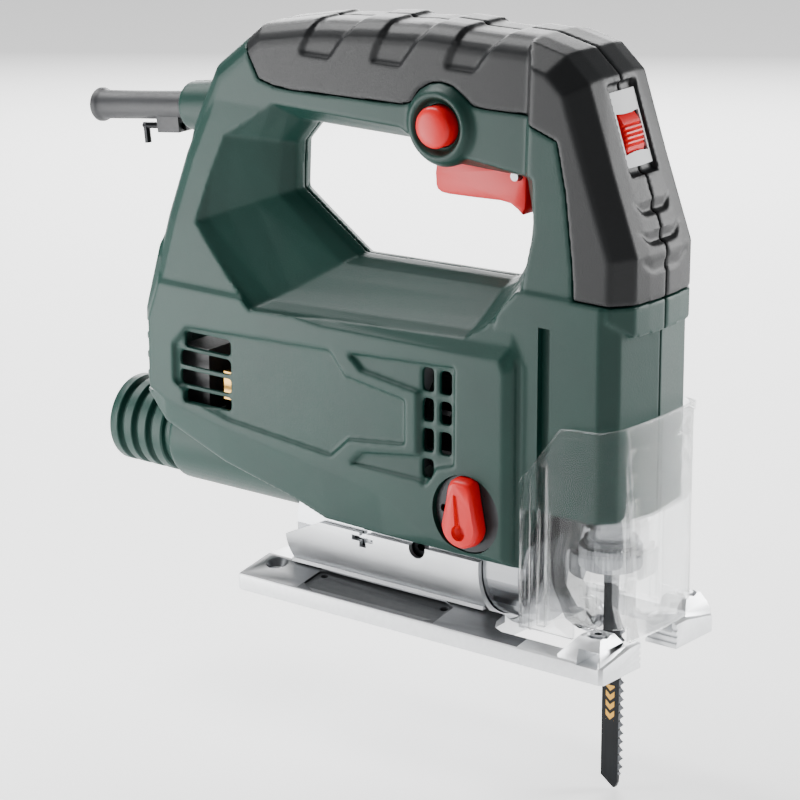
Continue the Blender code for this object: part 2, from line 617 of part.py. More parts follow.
# ---------------------------------------------------------------- motor
def motor():
    field = rod("field_core", "X", 0, MOTOR_Z, 22.6, -52, -8, 32)
    cut(field, rod("field_bore", "X", 0, MOTOR_Z, 16.4, -60, 0, 32))
    cut(field, box("field_flat_r", -60, 0, -30, -21.0, 30, 110))
    cut(field, box("field_flat_l", -60, 0, 21.0, 30, 30, 110))
    paint(field, STEEL, 0.6, 0.8)
    slots = []
    for i in range(48):
        r = 15.6 if i % 4 < 3 else 13.0
        angle = 2 * math.pi * i / 48
        slots.append((r * math.cos(angle), MOTOR_Z + r * math.sin(angle)))
    core = prism("rotor_core", "X", slots, -51, -9)
    cut(core, rod("rotor_bore", "X", 0, MOTOR_Z, 3.3, -60, 0, 24))
    paint(core, STEEL, 0.6, 0.8)
    drum = rod("commutator", "X", 0, MOTOR_Z, 9.0, -79, -66, 24)
    cut(drum, rod("drum_bore", "X", 0, MOTOR_Z, 3.3, -90, -60, 24))
    paint(drum, COPPER, 0.35, 1.0)
    fan = rod("cooling_fan", "X", 0, MOTOR_Z, 20.6, 8.0, 10.0, 24)
    for i in range(9):
        a = 2 * math.pi * i / 9
        c, s = math.cos(a), math.sin(a)
        vane = [(c * 8 - s * 0.8, MOTOR_Z + s * 8 + c * 0.8),
                (c * 8 + s * 0.8, MOTOR_Z + s * 8 - c * 0.8),
                (c * 20 + s * 0.8, MOTOR_Z + s * 20 - c * 0.8),
                (c * 20 - s * 0.8, MOTOR_Z + s * 20 + c * 0.8)]
        fuse(fan, prism("vane_%d" % i, "X", vane, 9.5, 19.0))
    fuse(fan, rod("fan_hub", "X", 0, MOTOR_Z, 7.0, 8.5, 19.0, 24))
    cut(fan, rod("fan_bore", "X", 0, MOTOR_Z, 3.3, 0, 30, 24))
    paint(fan, BLACK, 0.5)
    for name, r, bore, x0, x1 in (("front_bearing", 11.0, 4.3, 26.4, 32.8),
                                  ("rear_bearing", 8.0, 3.3, -91.5, -85.0)):
        race = rod(name, "X", 0, MOTOR_Z, r, x0, x1, 32)
        cut(race, rod(name + "_bore", "X", 0, MOTOR_Z, bore, x0 - 5, x1 + 5, 24))
        paint(race, STEEL, 0.25, 1.0)
    seat = box("bearing_block", -96.5, -84.5, -20, 20, MOTOR_Z - 11.0, MOTOR_Z + 11.0)
    cut(seat, rod("block_bore", "X", 0, MOTOR_Z, 8.3, -92.0, -80, 32))
    paint(seat, BLACK, 0.5)
    for side, tag in ((-1, "right"), (1, "left")):
        lo, hi = ordered(side, 10.4, 21.0)
        holder = box("brush_holder_" + tag, -77.0, -68.0, lo, hi, MOTOR_Z - 5, MOTOR_Z + 5)
        lo, hi = ordered(side, 5, 19.6)
        cut(holder, box("brush_way_" + tag, -75.3, -69.7, lo, hi, MOTOR_Z - 3.3, MOTOR_Z + 3.3))
        paint(holder, COPPER, 0.4, 1.0)
        lo, hi = ordered(side, 9.4, 17.5)
        brush = box("carbon_brush_" + tag, -75.0, -70.0, lo, hi, MOTOR_Z - 3, MOTOR_Z + 3)
        paint(brush, (0.03, 0.03, 0.03), 0.7)


# ---------------------------------------------------------------- rear pieces
def nozzle():
    steps = [(-136.0, 14.6), (-135.2, 15.6)]
    for i in range(3):
        x = -132.0 + i * 6.6
        steps += [(x, 15.6), (x + 0.4, 14.0), (x + 2.6, 14.0), (x + 3.0, 15.6)]
    steps += [(-111.5, 15.6), (-111.0, NOZZLE_R), (-72.6, NOZZLE_R), (-72.0, NOZZLE_R - 0.6)]
    tube = turned("dust_nozzle", "X", 0, NOZZLE_Z, steps, 24)
    cut(tube, rod("nozzle_bore", "X", 0, NOZZLE_Z, 11.8, -150, -60, 24))
    return paint(tube, GREEN, 0.55)


def rear_pieces():
    sleeve = turned("cord_sleeve", "X", 0, SLEEVE_Z,
                    [(-151, 5.2), (-150.4, 6.0), (-148.6, 6.0), (-147.0, 5.0), (-82.5, 5.0)], 20)
    bore = rod("sleeve_bore", "X", 0, SLEEVE_Z, 3.8, -170, -70, 16)
    fuse(sleeve, tip(box("key_clip", -122, -112, -3.4, 3.4, SLEEVE_Z - 9.4, SLEEVE_Z - 3.8)))
    tip(bore)
    tip(sleeve)
    hole = rod("key_hole", "X", 0, SLEEVE_Z - 7.2, 1.6, -140, -100, 12)
    cut(sleeve, bore, tip(hole))
    paint(sleeve, BLACK, 0.6)
    key = rod("hex_key", "X", 0, SLEEVE_Z - 7.2, 1.25, -131, -110.6, 6)
    fuse(key, tip(rod("key_foot", "Z", -130, 0, 1.25, SLEEVE_Z - 13.4, SLEEVE_Z - 6.4, 6)))
    paint(tip(key), BLACK, 0.35, 0.8)


def main():
    for obj in list(bpy.data.objects):
        bpy.data.objects.remove(obj)
    sole_plate()
    fence_screws()
    cradle()
    gear_housing()
    for side, tag in ((-1, "right"), (1, "left")):
        housing(side, tag)
        cover(side, tag)
    housing_screws()
    guard()
    controls()
    drive()
    plunger()
    blade()
    roller()
    motor()
    nozzle()
    rear_pieces()


main()
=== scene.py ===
import math

import bmesh
import bpy
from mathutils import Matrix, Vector


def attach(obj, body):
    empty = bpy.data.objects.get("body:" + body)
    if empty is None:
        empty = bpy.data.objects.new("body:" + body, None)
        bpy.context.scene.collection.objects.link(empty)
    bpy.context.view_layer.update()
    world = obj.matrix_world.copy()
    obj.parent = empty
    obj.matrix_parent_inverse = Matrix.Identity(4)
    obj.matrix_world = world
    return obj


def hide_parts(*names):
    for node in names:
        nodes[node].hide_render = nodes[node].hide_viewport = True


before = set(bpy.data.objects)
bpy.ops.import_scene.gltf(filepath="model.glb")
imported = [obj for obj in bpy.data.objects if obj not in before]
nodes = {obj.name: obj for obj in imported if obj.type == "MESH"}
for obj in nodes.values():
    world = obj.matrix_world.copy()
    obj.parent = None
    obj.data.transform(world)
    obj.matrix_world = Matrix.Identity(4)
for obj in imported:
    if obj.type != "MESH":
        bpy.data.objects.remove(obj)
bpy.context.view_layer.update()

# The housing is two halves of glass-filled nylon, deep green with a fine spark
# texture, moulded as thin shells and screwed together on the centre plane.
# Each half is drawn out from its side outline, eased at every edge, then hollowed
# by one tool that joins its room and all its bores. Sizes here are in millimetres.
MM = 0.001
body_side = [(-112, 60), (-103, 50), (-75, 40), (-44, 34), (-30, 29.8), (-5, 29.2), (16, 29.2),
             (52, 29.2), (52, 100), (46, 120), (-30, 117.5), (-58, 124), (-106, 118), (-112, 92)]
body_face = [(-108.5, 61.5), (-101, 52), (-75, 42), (-44, 34.5), (-30, 29.8), (-5, 29.2),
             (16, 29.2), (52, 29.2), (52, 97), (47, 104), (-30, 101), (-60, 105), (-103, 105),
             (-108.5, 90)]
body_outer = [(-106, 64), (-99, 60.5), (-75, 55.5), (-44, 51), (-30, 48.6), (-5, 44.6),
              (16, 34), (45.5, 31), (45.5, 95), (44, 99), (-30, 98), (-60, 101.5), (-101, 101.5),
              (-106, 88)]
grip_side = [(-111, 96), (-104, 128), (-97, 155), (-86, 178), (-66, 194), (-38, 199.5),
             (0, 202.8), (47, 203), (60, 200), (60, 112), (-100, 80)]
head_side = [(44, 112), (47, 203), (62, 199.8), (71, 192), (80, 165.5), (90.2, 138), (90, 112)]
window_side = [(-50, 161), (-56.5, 153), (-57, 137), (-30, 118.5), (33, 120.5), (39, 124),
               (41.5, 131), (41.5, 143), (38.5, 155), (3, 155), (-6, 161)]
flare_side = [(-62, 172), (-84, 156), (-88.5, 124), (-60, 99), (28, 103.5), (36, 108.5),
              (50, 124), (54.5, 143), (54, 160), (8, 166), (-4, 171)]
cover_zone = [(-64, 176), (-57, 174.4), (-50, 174.0), (-4, 175.3), (0.5, 176.5), (3.6, 181),
              (8, 183.8), (12.5, 184.6), (17, 183.8), (21.4, 181), (25, 178.4), (30, 178), (46, 178.5),
              (62.5, 173), (66, 157), (69, 133), (69.5, 122.4), (95, 122.4), (95, 215), (-80, 215),
              (-72, 190)]

screws = ((-98, 122), (-76, 178), (-30, 107), (50, 188), (79.3, 136))
belly_z = 25
duct_z = 41
dial_at = (65.5, 170.6)
button_at = (12.5, 170.4)
lever_at = (31, 44.5)
cord_at = (-100, 159.5)
cord_slope = math.radians(7)
wall = 2.6


def only(obj):
    bpy.ops.object.select_all(action="DESELECT")
    obj.select_set(True)
    bpy.context.view_layer.objects.active = obj
    return obj


def drawn(name, rings):
    """A block drawn out in edit mode from one flat face through rings of corners."""
    bpy.ops.object.select_all(action="DESELECT")
    bpy.ops.mesh.primitive_circle_add(vertices=len(rings[0]), radius=0.01, fill_type="NGON")
    obj = bpy.context.object
    obj.name = name
    for vertex, corner in zip(obj.data.vertices, rings[0]):
        vertex.co = Vector(corner) * MM
    bpy.ops.object.mode_set(mode="EDIT")
    bpy.ops.mesh.select_all(action="SELECT")
    last = list(rings[0])
    for ring in rings[1:]:
        bpy.ops.mesh.extrude_region_move()
        bm = bmesh.from_edit_mesh(obj.data)
        place = {tuple(round(c * 1e5) for c in Vector(p) * MM): q for p, q in zip(last, ring)}
        for vertex in bm.verts:
            if vertex.select:
                vertex.co = Vector(place[tuple(round(c * 1e5) for c in vertex.co)]) * MM
        bmesh.update_edit_mesh(obj.data)
        last = list(ring)
    bpy.ops.mesh.select_all(action="SELECT")
    bpy.ops.mesh.normals_make_consistent(inside=False)
    bpy.ops.object.mode_set(mode="OBJECT")
    return obj


def inset(outline, d):
    """The outline with every side moved in by d."""
    n = len(outline)
    area = sum(outline[i][0] * outline[(i + 1) % n][1] - outline[(i + 1) % n][0] * outline[i][1]
               for i in range(n))
    sign = 1.0 if area > 0 else -1.0
    sides = []
    for i in range(n):
        (x0, y0), (x1, y1) = outline[i], outline[(i + 1) % n]
        length = math.hypot(x1 - x0, y1 - y0)
        nx, ny = -(y1 - y0) / length * sign, (x1 - x0) / length * sign
        sides.append((nx, ny, nx * x0 + ny * y0 + d))
    out = []
    for i in range(n):
        a, b, c = sides[i - 1]
        e, f, g = sides[i]
        det = a * f - b * e
        if abs(det) < 1e-6:
            out.append((outline[i][0] + e * d, outline[i][1] + f * d))
        else:
            out.append(((c * f - b * g) / det, (a * g - c * e) / det))
    return out


def between(a, b, t):
    return [(p[0] + (q[0] - p[0]) * t, p[1] + (q[1] - p[1]) * t) for p, q in zip(a, b)]


def on_y(layers):
    return [[(x, y, z) for x, z in outline] for y, outline in layers]


def plate(name, axis, outline, a, b):
    """A flat plate or bar, drawn straight along one axis from a to b."""
    if axis == "X":
        return drawn(name, [[(t, u, v) for u, v in outline] for t in (a, b)])
    if axis == "Y":
        return drawn(name, [[(u, t, v) for u, v in outline] for t in (a, b)])
    return drawn(name, [[(u, v, t) for u, v in outline] for t in (a, b)])


def block(name, x0, x1, y0, y1, z0, z1):
    return plate(name, "Z", [(x0, y0), (x1, y0), (x1, y1), (x0, y1)], z0, z1)


def ring_of(cx, cy, r, n, start=0.0):
    return [(cx + r * math.cos(start + 2 * math.pi * i / n),
             cy + r * math.sin(start + 2 * math.pi * i / n)) for i in range(n)]


def turned(name, axis, u, v, profile, n=48):
    """A turned piece: rings of (distance along the axis, radius)."""
    rings = []
    for t, r in profile:
        if axis == "X":
            rings.append([(t, a, b) for a, b in ring_of(u, v, r, n)])
        elif axis == "Y":
            rings.append([(a, t, b) for a, b in ring_of(u, v, r, n)])
        else:
            rings.append([(a, b, t) for a, b in ring_of(u, v, r, n)])
    return drawn(name, rings)


def heft(obj):
    bm = bmesh.new()
    bm.from_mesh(obj.data)
    volume = bm.calc_volume(signed=True) / MM ** 3
    bm.free()
    return volume


def work(obj, tool, how):
    """One boolean; where its volume comes out wrong, the tool is nudged and it is done again."""
    kept, whole, share = obj.data.copy(), heft(obj), heft(tool)
    low, high = {"DIFFERENCE": (whole - share, whole), "UNION": (max(whole, share), whole + share),
                 "INTERSECT": (0, min(whole, share))}[how]
    slack = 200
    for nudge in (0, 0.03, -0.05, 0.08, -0.11):
        obj.data = kept.copy()
        tool.location = Vector((nudge, nudge * 0.7, nudge * 0.9)) * MM
        m = obj.modifiers.new("work", "BOOLEAN")
        m.operation = how
        m.solver = "EXACT"
        m.object = tool
        only(obj)
        bpy.ops.object.modifier_apply(modifier=m.name)
        if low - slack < heft(obj) < high + slack:
            break
    bpy.data.objects.remove(tool)
    return obj


def add(obj, *tools):
    for tool in tools:
        work(obj, tool, "UNION")
    return obj


def carve(obj, *tools):
    for tool in tools:
        work(obj, tool, "DIFFERENCE")
    return obj


def twin(obj, name):
    other = obj.copy()
    other.data = obj.data.copy()
    other.name = name
    bpy.context.scene.collection.objects.link(other)
    return other


def eased(obj, grain, passes):
    """Turns a sharp block into a moulding with softened edges."""
    m = obj.modifiers.new("grain", "REMESH")
    m.mode = "VOXEL"
    m.voxel_size = grain * MM
    only(obj)
    bpy.ops.object.modifier_apply(modifier=m.name)
    m = obj.modifiers.new("ease", "SMOOTH")
    m.factor = 0.5
    m.iterations = passes
    bpy.ops.object.modifier_apply(modifier=m.name)
    return obj


def smooth(obj, degrees=32):
    only(obj)
    bpy.ops.object.shade_smooth_by_angle(angle=math.radians(degrees))
    return obj


def tilted(obj, x, z, angle):
    """Turns a finished block in the side view about the point (x, z)."""
    only(obj)
    bpy.ops.object.mode_set(mode="EDIT")
    bpy.ops.mesh.select_all(action="SELECT")
    bpy.ops.transform.rotate(value=angle, orient_axis="Y", center_override=(x * MM, 0, z * MM))
    bpy.ops.object.mode_set(mode="OBJECT")
    return obj


def swollen(obj, factors, centre):
    """Scales a finished block in edit mode about a centre."""
    only(obj)
    bpy.ops.object.mode_set(mode="EDIT")
    bpy.ops.mesh.select_all(action="SELECT")
    bpy.ops.transform.resize(value=factors, center_override=Vector(centre) * MM)
    bpy.ops.object.mode_set(mode="OBJECT")
    return obj


def body_form(name, side, d=0.0):
    layers = [(-2 * side, inset(body_side, d)), (13 * side, inset(body_side, d))]
    for k in range(1, 5):
        t = math.radians(22.5 * k)
        shape = between(body_side, body_face, 1 - math.cos(t))
        layers.append((side * (13 + (11.2 - d) * math.sin(t)), inset(shape, d)))
    layers.append((side * (27 - d), inset(body_outer, d)))
    return drawn(name, on_y(layers))


def grip_form(name, side, d=0.0):
    layers = [(-2 * side, inset(grip_side, d)), (side * (8 - d * 0.4), inset(grip_side, d))]
    for k in range(1, 6):
        t = math.radians(18 * k)
        layers.append((side * (8 - d * 0.4 + (8.5 - d * 0.6) * math.sin(t)),
                       inset(grip_side, d + 7.5 * (1 - math.cos(t)))))
    return drawn(name, on_y(layers))


def head_form(name, side, d=0.0):
    plain = inset(head_side, d)
    slim = [(x - (0.5 if x > 60 else 0), z) for x, z in plain]
    slimmer = [(x - (1.3 if x > 60 else 0), z - (0.8 if z > 190 else 0)) for x, z in plain]
    return drawn(name, on_y([(-2 * side, plain), (side * 2, plain), (side * 9, slim),
                             (side * (15.5 - d * 0.5), slimmer),
                             (side * (22.3 - d), inset(slimmer, 5.2)),
                             (side * (22.7 - d), inset(slimmer, 6.4))]))


def column_form(name, side, d=0.0, top=122.2):
    half = 23.6 - d
    plan = [(40, -2 * side), (40, side * half), (80.6, side * half),
            (85.4 - d, side * (18.6 - d * 0.5)), (88.3 - d, side * 0.5), (88.3 - d, -2 * side)]
    return plate(name, "Z", plan, 50 + d, top)


def rear_form(name, side, d=0.0):
    """The rear bar, which carries the flat side of the body up into the handle."""
    rings = []
    for z, x, half in ((86, -110.5, 26.2), (104, -109, 25.6), (124, -105, 23.0),
                       (146, -99.3, 19.6), (166, -92, 16.6)):
        x, half = x + d, half - d
        rings.append([(x, -2 * side, z), (x, side * (half - 9), z), (x + 1.8, side * (half - 5), z),
                      (x + 5, side * (half - 1.6), z), (x + 9, side * half, z),
                      (-60, side * half, z), (-60, -2 * side, z)])
    return drawn(name, rings)


def window_form(name, d=0.0):
    """The hand opening, flared towards both sides."""
    layers = [(-y, inset(between(window_side, flare_side, t), -d))
              for y, t in ((40, 1.1), (24, 1.0), (20, 0.87), (16.5, 0.68), (12, 0.4), (8, 0.17),
                           (4, 0.04), (0.5, 0))]
    mirror = [(-y, outline) for y, outline in reversed(layers)]
    return drawn(name, on_y(layers + mirror))


def across(side, a, b):
    return sorted((side * a, side * b))


def panels(hull, side):
    """Shallow panels, louvres and grates on the motor side."""
    lo, hi = across(side, 25.6, 40)
    label = [(-88.5, 88), (-26, 90.8), (-19.6, 83.1), (5.8, 79.3), (5.8, 63.5), (-17.9, 60.7),
             (-25.6, 53.6), (-70.3, 57.6), (-86, 61.5), (-95, 68), (-95, 81)]
    nose = [(-18.8, 91.2), (26.2, 93.9), (26.2, 60), (19, 57.8), (14.5, 51.3), (12.0, 52.4),
            (-17.4, 52.6), (-12.5, 57.7), (11.0, 61.1), (11.0, 82.6), (-12.3, 85.7)]
    carve(hull, plate("label", "Y", label, lo, hi), plate("nose", "Y", nose, lo, hi))
    lo, hi = across(side, 20, 40)
    for k, (z0, z1) in enumerate(((80.4, 85.8), (73.6, 78.8), (66.8, 72.0), (60.8, 65.2))):
        back = -90.5 if k in (0, 3) else -92.8
        carve(hull, block("louvre", back, -70.2, lo, hi, z0, z1))
    lo, hi = across(side, 25.2, 40)
    carve(hull, block("louvre_bed", -94.2, -86.5, lo, hi, 66.2, 79.4))
    for k in range(4):
        lo, hi = across(side, 7.5, 25.8)
        z = 61.6 + 6.8 * k
        carve(hull, block("rear_louvre", -118, -104.5, lo, hi, z, z + 4.0))
    lo, hi = across(side, 20, 40)
    for k, (z0, z1) in enumerate(((83.4, 91.4), (73.2, 81.0), (62.8, 70.6), (53.6, 60.2))):
        carve(hull, block("grate", 12.2, 16.7, lo, hi, z0, z1))
        if k < 3:
            carve(hull, block("grate", 19.4, 23.9, lo, hi, z0, z1))


def half_shell(side, tag):
    hull = body_form("hull_" + tag, side)
    add(hull, column_form("column", side), grip_form("grip", side), head_form("head", side),
        rear_form("rear_bar", side))
    add(hull, turned("duct", "X", 0, duct_z, [(-107.5, 15.8), (-106, 17), (-53, 17), (-40, 12)]))
    carve(hull, window_form("window"))
    carve(hull, block("step", 49.0, 57.0, *across(side, 23.9, 40), 26, 106))
    panels(hull, side)
    return hull


def cover_marks(skin, side):
    """Grip panels, the dial's frame and the thumb notches of the soft skin."""
    low = swollen(twin(skin, "low"), (1, 0.93, 0.953), (0, side * 2.0, 178))
    for foot, top, slant, z in ((-46.2, -42.6, -34.0, 186.6), (-16.2, -12.4, -4.4, 187.8),
                                (14.2, 17.8, 25.6, 189.6)):
        pad = [(foot, z), (slant, z), (slant + 9.5, z + 12), (slant + 15.5, z + 24),
               (top + 3, z + 24), (top, z + 10)]
        tool = plate("pad", "Y", pad, *across(side, -3, 40))
        carve(tool, twin(low, "low_b"))
        carve(skin, tool)
    bpy.data.objects.remove(low)
    outer = [(63.6, 187.6), (80, 192.2), (94, 161.0), (74.4, 161.6), (70, 172)]
    tool = drawn("frame", [[(x, w, z) for x, z in outer] for w in (-7.6, 7.6)])
    carve(tool, head_form("floor", side, 2.1))
    carve(skin, tool)
    for x, z, w in ((85.0, 152.6, 10.5), (88.3, 143.6, 11.5), (90.6, 134.6, 12.5)):
        notch = [[(x - cut, y, z - 2.8 + rise), (x + 5, y, z - 3.4 + rise),
                  (x + 5, y, z + 1.8 + rise), (x - 0.9, y, z + 1.2 + rise)]
                 for y, rise, cut in ((-w, 3.6, 1.9), (-w * 0.6, 0, 1.3), (w * 0.6, 0, 1.3),
                                      (w, 3.6, 1.9))]
        carve(skin, drawn("notch", notch))


class Grain:
    """One socket of a finish; arithmetic on it adds Math nodes."""

    def __init__(self, finish, socket):
        self.finish = finish
        self.socket = socket

    def math(self, operation, *values):
        return self.finish.node("ShaderNodeMath", {"operation": operation},
                                dict(enumerate(values)))

    def __add__(self, other):
        return self.math("ADD", self, other)

    __radd__ = __add__

    def __sub__(self, other):
        return self.math("SUBTRACT", self, other)

    def __rsub__(self, other):
        return self.math("SUBTRACT", other, self)

    def __mul__(self, other):
        return self.math("MULTIPLY", self, other)

    __rmul__ = __mul__

    def __truediv__(self, other):
        return self.math("DIVIDE", self, other)

    def __rtruediv__(self, other):
        return self.math("DIVIDE", other, self)

    def __gt__(self, other):
        return self.math("GREATER_THAN", self, other)

    def __lt__(self, other):
        return self.math("LESS_THAN", self, other)


class Finish:
    """A material made of nodes around one Principled shader."""

    def __init__(self, name, colour, roughness, metallic=0.0, **more):
        self.material = bpy.data.materials.new(name)
        self.material.use_nodes = True
        self.tree = self.material.node_tree
        self.shader = self.tree.nodes["Principled BSDF"]
        self.put("Base Color", tint(colour))
        self.put("Roughness", roughness)
        self.put("Metallic", metallic)
        for key, value in more.items():
            self.put(key.replace("_", " "), value)
        self.spot = self.node("ShaderNodeTexCoord", out="Object")

    def put(self, name, value):
        target = self.shader.inputs[name]
        if isinstance(value, Grain):
            self.tree.links.new(value.socket, target)
        else:
            target.default_value = value

    def node(self, kind, settings=None, sockets=None, out=0):
        made = self.tree.nodes.new(kind)
        for key, value in (settings or {}).items():
            if key == "stops":
                while len(made.color_ramp.elements) < len(value):
                    made.color_ramp.elements.new(0.5)
                for stop, (place, colour) in zip(made.color_ramp.elements, value):
                    stop.position = place
                    stop.color = colour
            else:
                setattr(made, key, value)
        for key, value in (sockets or {}).items():
            if isinstance(value, Grain):
                self.tree.links.new(value.socket, made.inputs[key])
            else:
                made.inputs[key].default_value = value
        return Grain(self, made.outputs[out])

    def noise(self, scale, detail=2.0, rough=0.5, stretch=None):
        where = self.spot
        if stretch:
            where = self.node("ShaderNodeMapping", None, {"Vector": where, "Scale": stretch})
        return self.node("ShaderNodeTexNoise", None,
                         {"Vector": where, "Scale": scale, "Detail": detail, "Roughness": rough})

    def along(self, axis):
        return self.node("ShaderNodeSeparateXYZ", None, {"Vector": self.spot}, out=axis)

    def mix(self, mask, first, second):
        made = self.node("ShaderNodeMix", {"data_type": "RGBA"},
                         {0: mask, 6: tint(first), 7: tint(second)}, out=2)
        return made

    def relief(self, height, strength, depth):
        self.put("Normal", self.node("ShaderNodeBump", None,
                                     {"Height": height, "Strength": strength,
                                      "Distance": depth * MM}))


def tint(colour):
    """A screen colour such as 245048 as the linear colour that a shader takes."""
    if isinstance(colour, Grain):
        return colour
    out = []
    for k in (0, 2, 4):
        c = int(colour[k:k + 2], 16) / 255
        out.append(c / 12.92 if c <= 0.04045 else ((c + 0.055) / 1.055) ** 2.4)
    return (*out, 1.0)


def dress(obj, finish):
    obj.data.materials.clear()
    obj.data.materials.append(finish.material)
    return obj


green = Finish("spark_textured_green", "16362f", 0.5, Specular_IOR_Level=0.32)
spark = green.noise(1700, 2.0, 0.6)
cloud = green.noise(45, 3.0)
green.put("Base Color", green.mix(cloud * 0.7 + spark * 0.3, "01241f", "05352c"))
green.put("Roughness", 0.36 + spark * 0.2)
green.relief(spark, 0.4, 0.1)

charcoal = Finish("satin_charcoal_skin", "141517", 0.46, Specular_IOR_Level=0.3)
pore = charcoal.noise(1500, 2.0, 0.6)
shade = charcoal.noise(38, 3.0)
charcoal.put("Base Color", charcoal.mix(shade * 0.6 + pore * 0.4, "0b0c0e", "151719"))
charcoal.put("Roughness", 0.34 + pore * 0.22)
charcoal.relief(pore, 0.3, 0.1)

for side, tag in ((-1, "right"), (1, "left")):
    hull = half_shell(side, tag)
    grain = 0.7
    skin = twin(hull, "cover_" + tag)
    work(skin, plate("zone", "Y", inset(cover_zone, 0.12), -40, 40), "INTERSECT")
    carve(hull, plate("zone", "Y", inset(cover_zone, -0.14), -40, 40))
    cover_marks(skin, side)
    add(hull, tilted(turned("cord_boss", "X", 0, cord_at[1], [(-107.4, 7.4), (-106.4, 8.6), (-86, 9.4)]),
                     *cord_at, cord_slope))
    if side < 0:
        add(hull, turned("button_boss", "Y", *button_at,
                         [(-8, 13.9), (-15.8, 13.8), (-17.2, 12.9), (-18.7, 11.8), (-19.3, 10.6),
                          (-19.0, 9.6), (-17.8, 8.7), (-16.4, 8.2)]))
    seam = block("seam", -180, 120, *across(side, -40, 0.13), -20, 240)
    carve(hull, twin(seam, "seam_b"))
    carve(skin, seam)
    if side > 0:
        carve(skin, turned("well", "Y", *screws[4], [(18.5, 3.0), (40, 3.0)]))
    eased(hull, grain, 2)
    eased(skin, grain, 2)
    room = add(body_form("room", side, wall), rear_form("room_bar", side, 2.8))
    add(room, column_form("room_column", side, 3.0, 128))
    add(room, add(grip_form("room_grip", side, 4.6), head_form("room_head", side, 4.6)))
    carve(room, window_form("rim", wall))
    if side > 0:
        for i, (x, z) in enumerate(screws[:4]):
            carve(room, turned("post", "Y", x, z, [(-1, 3.8), (12.0 if i in (0, 1, 3) else 19.0, 3.8)]))
    add(room, turned("dial_way", "Y", *dial_at, [(-6.2, 12.9), (6.2, 12.9)]),
        turned("belly_way", "X", 0, belly_z, [(-52, 23.8), (60, 23.8)], 64),
        block("plunger_way", 47, 84, -15, 15, 40, 56),
        turned("duct_bore", "X", 0, duct_z, [(-120, 14.4), (-57, 14.4)]),
        tilted(turned("cord_bore", "X", 0, cord_at[1], [(-120, 5.5), (-80, 5.5)]),
               *cord_at, cord_slope),
        block("trigger_way", 1.5, 42.8, -8.5, 8.5, 141, 163.5),
        block("track", 57.0, 61.6, *across(side, 21.1, 40), 45, 112))
    if side < 0:
        add(room, turned("button_bore", "Y", *button_at, [(-30, 7.3), (-8, 7.3)]),
            turned("lever_bore", "Y", *lever_at, [(-30, 13.5), (-20, 13.5)]))
    else:
        for x, z in screws[:4]:
            add(room, turned("well", "Y", x, z, [(9.0, 3.0), (40, 3.0)]),
                turned("shank_way", "Y", x, z, [(-1.5, 1.9), (12, 1.9)]))
    carve(hull, twin(room, "room_b"))
    carve(skin, room)
    for piece, finish, node in ((hull, green, "housing_"), (skin, charcoal, "soft_cover_")):
        piece.name = node + tag + "_shell"
        dress(smooth(piece), finish)
        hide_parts(node + tag)
        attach(piece, "tool")

# The dial's frame is a pale grey moulding set in the head, and the speed dial is a
# red wheel with groups of fine ribs, which a thumb turns on a steel axle.
dial_frame = head_form("dial_frame", -1, 1.0)
add(dial_frame, head_form("other_side", 1, 1.0))
carve(dial_frame, add(head_form("inner", -1, 1.8), head_form("inner_left", 1, 1.8)))
work(dial_frame, drawn("window", on_y([(y, [(66, 185.4), (80, 189.6), (94, 163.6), (75, 164)])
                                       for y in (-6.9, 6.9)])), "INTERSECT")
carve(dial_frame, turned("slot", "Y", *dial_at, [(-6.1, 12.7), (6.1, 12.7)]))
grey = Finish("pale_grey_moulding", "a2a4a6", 0.42)
fleck = grey.noise(1500)
grey.put("Roughness", 0.36 + fleck * 0.15)
grey.relief(fleck, 0.15, 0.05)
dress(smooth(dial_frame), grey)
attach(dial_frame, "tool")

red = Finish("satin_red_moulding", "c20009", 0.36, Specular_IOR_Level=0.3)
speck = red.noise(1300)
red.put("Base Color", red.mix(red.noise(60) * 0.6 + speck * 0.4, "c20009", "d60a14"))
red.put("Roughness", 0.28 + speck * 0.16)
red.relief(speck, 0.14, 0.05)
rim = []
for i in range(144):
    ribbed = (i % 24) < 15
    r = 12.0 - (0.75 if ribbed and i % 3 == 0 else 0.0)
    rim.append((math.cos(2 * math.pi * i / 144) * r, math.sin(2 * math.pi * i / 144) * r))
dial = drawn("dial_wheel", [[(dial_at[0] + a * k, y, dial_at[1] + b * k) for a, b in rim]
                            for y, k in ((-5.1, 0.96), (-4.5, 1.0), (4.5, 1.0), (5.1, 0.96))])
carve(dial, turned("dial_eye", "Y", *dial_at, [(-9, 2.2), (9, 2.2)]))
dress(smooth(dial, 24), red)
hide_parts("speed_dial")
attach(dial, "dial")

# The trigger is a hollow red paddle with a rolled finger edge, and the lock
# button a domed red cap in a round boss. Both are nylon and move on steel pins.
edge = [(4.0, 148.0), (4.6, 146.6), (6.2, 145.7), (9, 145.5), (20, 145.9), (30, 146.4), (34, 146.0),
        (37, 144.4), (38.9, 142.9), (40.3, 145.2), (40.6, 148), (40.6, 159.5), (4.5, 159), (3.7, 152)]
trigger = drawn("trigger_paddle", on_y([(-8.1, inset(edge, 1.0)), (-7.8, inset(edge, 0.4)),
                                        (-7.1, edge), (7.1, edge), (7.8, inset(edge, 0.4)),
                                        (8.1, inset(edge, 1.0))]))
carve(trigger, turned("eye", "Y", 37.6, 156, [(-12, 1.8), (12, 1.8)]))
dress(smooth(trigger), red)
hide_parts("trigger")
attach(trigger, "trigger")
button = turned("lock_cap", "Y", *button_at,
                [(-12.2, 4.5), (-15.0, 4.5), (-15.1, 6.9), (-20.4, 6.9), (-21.1, 6.6), (-21.6, 6.0),
                 (-22.0, 4.6), (-22.25, 2.6), (-22.3, 0.8)], 64)
dress(smooth(button), red)
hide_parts("lock_button")
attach(button, "button")

